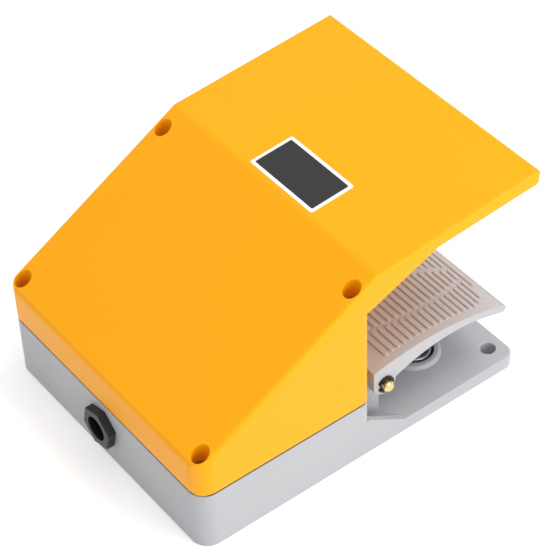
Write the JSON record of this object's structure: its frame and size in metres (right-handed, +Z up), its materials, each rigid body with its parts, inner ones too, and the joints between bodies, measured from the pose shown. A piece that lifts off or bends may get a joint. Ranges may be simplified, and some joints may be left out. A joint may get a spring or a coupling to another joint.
{
  "type": "foot switch",
  "caption": "Guarded treadle foot switch: cast base and cover, sprung treadle on a through pin, sealed push rod and snap-action switch.",
  "frame": {"origin": "centre of the base's rectangular footprint, on the floor", "axes": "+Z up, +Y towards the cable entry at the back, -Y towards the treadle's tip, X across the treadle"},
  "size_m": [0.16, 0.2088, 0.122],
  "materials": {
    "grey_casting": "light grey paint on die-cast aluminium",
    "treadle_casting": "light grey paint on die-cast aluminium",
    "yellow_enamel": "smooth orange-yellow enamel",
    "gasket_rubber": "matt black-brown rubber",
    "plated_steel": "zinc plated",
    "yellow_zinc": "yellow passivated zinc",
    "black_spring_steel": "black oxide",
    "nylon": "natural nylon",
    "spring_steel": "oil-tempered wire",
    "bright_steel": "ground stainless steel",
    "brass": "turned brass",
    "black_rubber": "matt black rubber",
    "black_phenolic": "moulded phenolic",
    "red_plastic": "moulded acetal",
    "black_nylon": "moulded black nylon"
  },
  "bodies": {
    "housing": {"base_housing": "grey_casting", "top_cover": "yellow_enamel", "cover_gasket": "gasket_rubber", "cover_screws_back": "plated_steel", "cover_screws_front": "plated_steel", "cover_washers": "plated_steel", "pivot_pin": "yellow_zinc", "retaining_clips": "black_spring_steel", "pivot_spacers": "nylon", "return_spring_left": "spring_steel", "return_spring_right": "spring_steel", "rod_guide": "brass", "rod_guide_nut": "brass", "rod_wiper": "black_rubber", "switch_bracket": "plated_steel", "bracket_screws": "plated_steel", "switch_case": "black_phenolic", "switch_screws": "plated_steel", "switch_terminals": "brass", "terminal_screws": "plated_steel", "gland_nut": "black_nylon", "gland_washer": "plated_steel", "gland_seal": "black_rubber", "earth_screw": "brass", "earth_washer": "brass"},
    "treadle": {"treadle": "treadle_casting", "adjusting_screw": "plated_steel", "adjusting_locknut": "plated_steel"},
    "push_rod": {"push_rod": "bright_steel", "rod_circlip": "black_spring_steel"},
    "plunger": {"switch_plunger": "red_plastic"}
  },
  "joints": [
    {"name": "treadle_hinge", "type": "hinge", "parent": "housing", "child": "treadle", "pos_m": [0, -0.0165, 0.0345], "axis": [1, 0, 0], "range_deg": [0, 10], "stiffness_Nm_per_rad": 5, "springref_deg": -8.59, "deforming": ["return_spring_left", "return_spring_right"]},
    {"name": "rod_slide", "type": "slide", "parent": "housing", "child": "push_rod", "axis": [0, 1, 0], "range_m": [0, 0.0028]},
    {"name": "plunger_slide", "type": "slide", "parent": "housing", "child": "plunger", "axis": [0, 1, 0], "range_m": [0, 0.0028]}
  ],
  "couplings": [
    {"joint": "rod_slide", "follows": "treadle_hinge", "m_per_rad": 0.0153},
    {"joint": "plunger_slide", "follows": "treadle_hinge", "m_per_rad": 0.0153}
  ]
}
